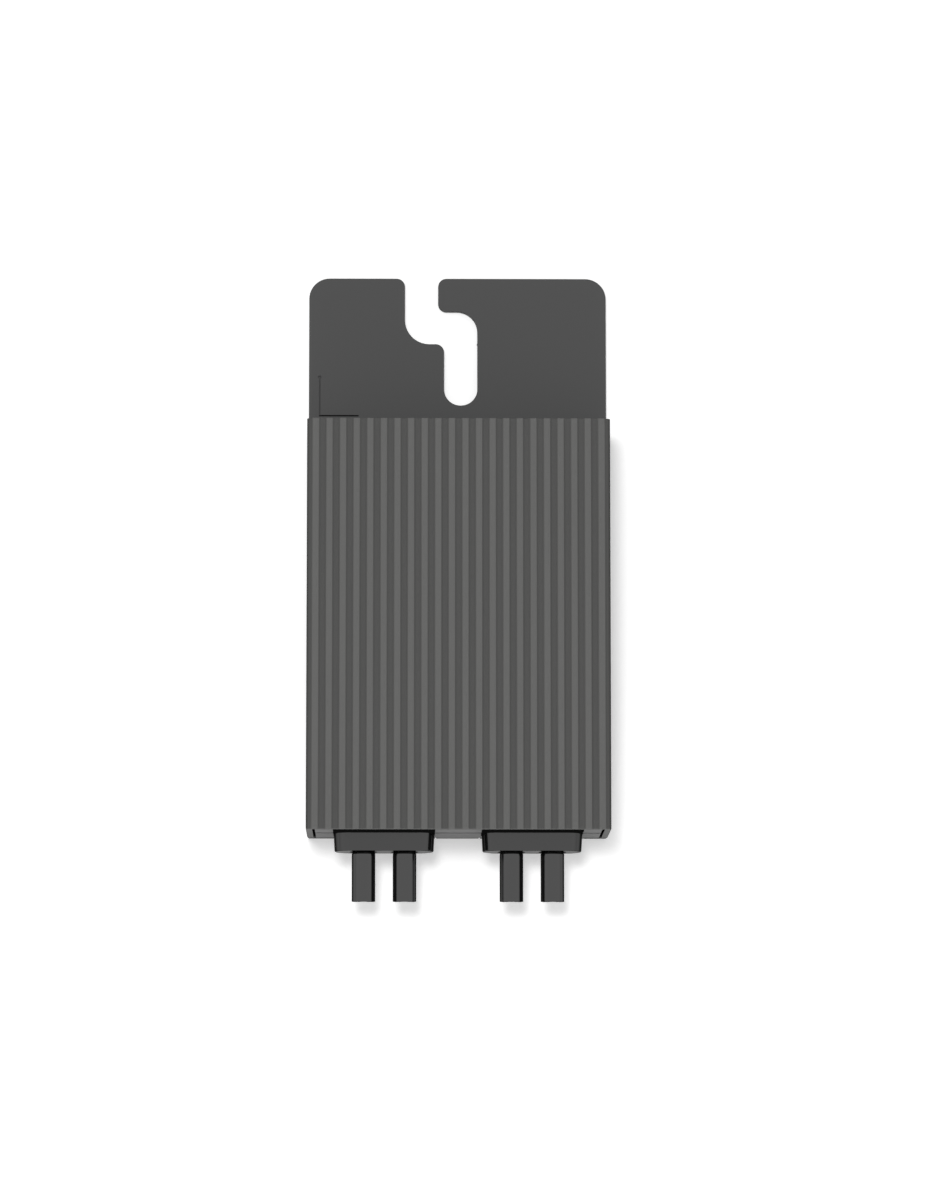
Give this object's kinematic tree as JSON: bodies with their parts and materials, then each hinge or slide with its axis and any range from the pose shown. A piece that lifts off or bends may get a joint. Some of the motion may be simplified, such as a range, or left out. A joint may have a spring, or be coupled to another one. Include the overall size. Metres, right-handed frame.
{
  "type": "power optimizer",
  "caption": "Flat ribbed power optimizer for a solar module, on a mounting bracket with an offset hanging slot, with cut lead stubs leaving through moulded glands at its lower end.",
  "frame": {"origin": "middle of the body's footprint on the mounting face, which is the back of the bracket", "axes": "+X across the body, +Y along it towards the hanging slot, +Z out of the mounting face through the ribs"},
  "size_m": [0.075, 0.159, 0.028],
  "materials": {
    "cover_coat": "fine matt powder coat on die-cast metal",
    "bracket_coat": "fine matt powder coat on sheet",
    "cap_plastic": "lightly grained moulding",
    "gland_plastic": "satin moulding",
    "seal_rubber": "matt rubber",
    "lead_jacket": "satin cable jacket",
    "lead_strands": "cut strands of tinned copper",
    "screw_steel": "plated",
    "tinned_metal": "tinned",
    "board_laminate": "solder resist",
    "ferrite": "sintered",
    "winding_wire": "enamelled",
    "chip_case": "moulded",
    "pad_silicone": "soft",
    "film_case": "moulded"
  },
  "bodies": {
    "root": {"mounting_bracket": "bracket_coat", "back_seal": "seal_rubber", "ribbed_cover": "cover_coat", "end_cap_front": "cap_plastic", "end_cap_rear": "cap_plastic", "cover_screws": "screw_steel", "input_gland": "gland_plastic", "output_gland": "gland_plastic", "input_gland_seal": "seal_rubber", "output_gland_seal": "seal_rubber", "input_positive_lead": "lead_jacket", "input_negative_lead": "lead_jacket", "output_positive_lead": "lead_jacket", "output_negative_lead": "lead_jacket", "input_positive_core": "lead_strands", "input_negative_core": "lead_strands", "output_positive_core": "lead_strands", "output_negative_core": "lead_strands", "input_positive_terminal": "tinned_metal", "input_negative_terminal": "tinned_metal", "output_positive_terminal": "tinned_metal", "output_negative_terminal": "tinned_metal", "circuit_board": "board_laminate", "board_screws": "screw_steel", "inductor_core": "ferrite", "inductor_winding": "winding_wire", "power_transistor_1": "chip_case", "power_transistor_2": "chip_case", "power_transistor_3": "chip_case", "power_transistor_4": "chip_case", "thermal_pad": "pad_silicone", "input_capacitor_1": "film_case", "input_capacitor_2": "film_case", "output_capacitor_1": "film_case", "output_capacitor_2": "film_case", "bypass_diode": "chip_case", "current_shunt": "tinned_metal", "controller_chip": "chip_case", "gate_driver_chip": "chip_case", "signal_transformer": "ferrite"}
  },
  "joints": []
}
